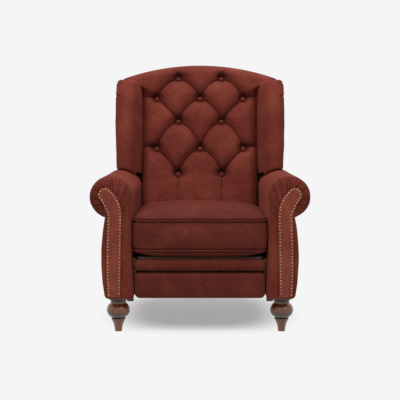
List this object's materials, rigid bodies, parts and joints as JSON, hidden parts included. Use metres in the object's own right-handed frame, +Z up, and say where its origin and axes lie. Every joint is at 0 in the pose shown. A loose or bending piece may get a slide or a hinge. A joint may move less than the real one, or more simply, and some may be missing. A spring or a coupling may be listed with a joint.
{
  "type": "wingback recliner",
  "caption": "Wingback recliner with a tufted reclining back, rolled nail-trimmed arms, turned feet and a folding two-board footrest.",
  "frame": {"origin": "on the floor, under the middle of the closed chair", "axes": "X is the width, +X to the right seen from the front; -Y is the front; +Z is up"},
  "size_m": [0.87, 0.8639, 1.1112],
  "materials": {
    "fabric": "chenille pile, dark rust red",
    "frame_timber": "bare sawn timber",
    "dark_wood": "dark stain, satin",
    "brass_nails": "aged brass",
    "webbing": "woven strap",
    "deck_cloth": "plain lining",
    "mechanism_steel": "black, semi-gloss"
  },
  "bodies": {
    "base": {"arm_cover_left": "fabric", "arm_cover_right": "fabric", "arm_facing_left": "fabric", "arm_facing_right": "fabric", "arm_front_post_left": "frame_timber", "arm_front_post_right": "frame_timber", "arm_nails": "brass_nails", "arm_rail_left": "frame_timber", "arm_rail_right": "frame_timber", "arm_rear_post_left": "frame_timber", "arm_rear_post_right": "frame_timber", "arm_sill_left": "frame_timber", "arm_sill_right": "frame_timber", "arm_top_rail_left": "frame_timber", "arm_top_rail_right": "frame_timber", "foot_studs": "mechanism_steel", "front_cross_rail": "frame_timber", "front_feet": "dark_wood", "glide_rails": "mechanism_steel", "rail_bolts": "mechanism_steel", "rear_cross_rail": "frame_timber", "rear_feet": "dark_wood"},
    "seat_unit": {"side_plates": "mechanism_steel", "seat_pins": "mechanism_steel", "seat_frame": "frame_timber", "seat_webbing": "webbing", "seat_deck": "deck_cloth", "seat_cushion": "fabric"},
    "drive_links": {"drive_links": "mechanism_steel", "drive_rod": "mechanism_steel", "lift_pins": "mechanism_steel"},
    "rest_links": {"rest_links": "mechanism_steel"},
    "carry_links": {"carry_links": "mechanism_steel", "carry_pins": "mechanism_steel"},
    "lift_links": {"lift_links": "mechanism_steel"},
    "ottoman": {"ottoman_brackets": "mechanism_steel", "ottoman_pins": "mechanism_steel", "ottoman_board": "frame_timber", "ottoman_pad": "fabric"},
    "strip": {"strip_brackets": "mechanism_steel", "strip_board": "frame_timber", "strip_pad": "fabric"},
    "back": {"back_brackets": "mechanism_steel", "back_stiles": "frame_timber", "back_low_rail": "frame_timber", "back_shoulders": "frame_timber", "back_posts": "frame_timber", "back_top_rail": "frame_timber", "back_webbing": "webbing", "back_pad": "fabric", "back_buttons": "fabric", "wing_left": "fabric", "wing_right": "fabric", "wing_boards": "frame_timber", "outside_back": "fabric", "outside_back_skirt": "fabric"}
  },
  "joints": [
    {"name": "back_recline", "type": "hinge", "parent": "seat_unit", "child": "back", "pos_m": [0, 0.205, 0.262], "axis": [-1, 0, 0], "range_deg": [0, 32]},
    {"name": "seat_glide", "type": "slide", "parent": "base", "child": "seat_unit", "axis": [0, -0.9903, 0.1392], "range_m": [0, 0.055]},
    {"name": "footrest_open", "type": "hinge", "parent": "seat_unit", "child": "drive_links", "pos_m": [0, -0.3526, 0.2679], "axis": [-1, 0, 0], "range_deg": [0, 145.9]},
    {"name": "rest_link_turn", "type": "hinge", "parent": "seat_unit", "child": "rest_links", "pos_m": [0, -0.3105, 0.278], "axis": [-1, 0, 0], "range_deg": [0, 149.2]},
    {"name": "carry_link_turn", "type": "hinge", "parent": "drive_links", "child": "carry_links", "pos_m": [0, -0.213, 0.1644], "axis": [-1, 0, 0], "range_deg": [-125, 0]},
    {"name": "lift_link_turn", "type": "hinge", "parent": "drive_links", "child": "lift_links", "pos_m": [0, -0.2071, 0.1918], "axis": [-1, 0, 0], "range_deg": [-119.4, 0]},
    {"name": "ottoman_turn", "type": "hinge", "parent": "carry_links", "child": "ottoman", "pos_m": [0, -0.356, 0.19], "axis": [-1, 0, 0], "range_deg": [0, 65.1]},
    {"name": "strip_turn", "type": "hinge", "parent": "carry_links", "child": "strip", "pos_m": [0, -0.3417, 0.1695], "axis": [-1, 0, 0], "range_deg": [0, 65.1]}
  ],
  "couplings": [
    {"joint": "seat_glide", "follows": "back_recline", "m_per_rad": 0.09846},
    {"joint": "rest_link_turn", "follows": "footrest_open", "ratio": 1.021},
    {"joint": "carry_link_turn", "follows": "footrest_open", "ratio": -0.855},
    {"joint": "lift_link_turn", "follows": "footrest_open", "ratio": -0.8164},
    {"joint": "ottoman_turn", "follows": "footrest_open", "ratio": 0.4445},
    {"joint": "strip_turn", "follows": "footrest_open", "ratio": 0.4445}
  ]
}
